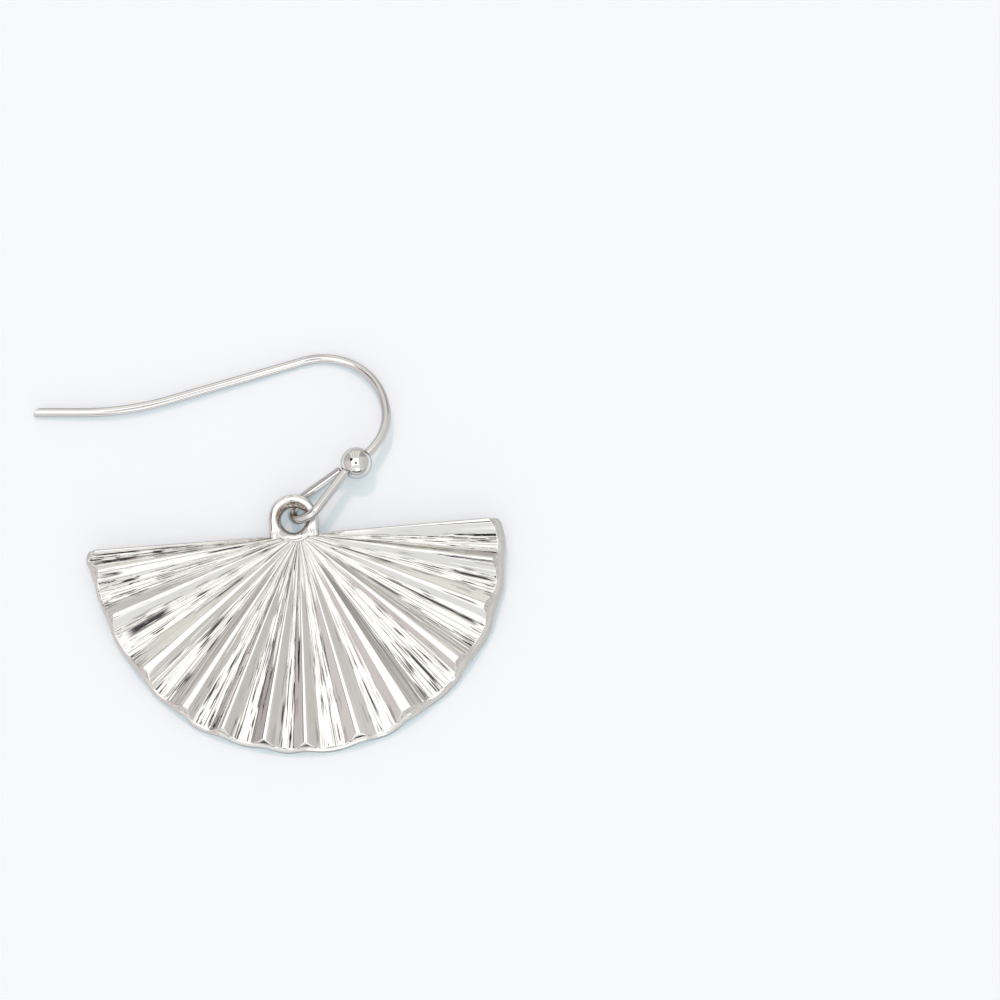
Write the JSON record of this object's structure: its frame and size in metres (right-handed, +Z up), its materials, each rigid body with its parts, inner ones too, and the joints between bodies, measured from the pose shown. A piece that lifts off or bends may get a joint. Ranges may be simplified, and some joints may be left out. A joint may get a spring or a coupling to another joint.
{
  "type": "drop earring",
  "caption": "Drop earring lying flat: a pleated cast fan whose round eye hangs in the closed loop of a wire ear hook with a polished bead.",
  "frame": {"origin": "on the surface that the earring lies on, under the middle of the whole earring's box", "axes": "+Z up from the surface, +X to the right along the fan's straight edge, +Y from the fan's scalloped rim towards the arch of the hook"},
  "size_m": [0.0415, 0.0368, 0.0038],
  "materials": {
    "cast_silver": "silver plated casting, polished, with fine radial lines and dark nicks in the folds",
    "wire_silver": "silver plated drawn wire, polished",
    "bead_silver": "silver plated bead, mirror polished"
  },
  "bodies": {
    "root": {"fan_drop": "cast_silver", "ear_wire": "wire_silver", "bead": "bead_silver"}
  },
  "joints": []
}
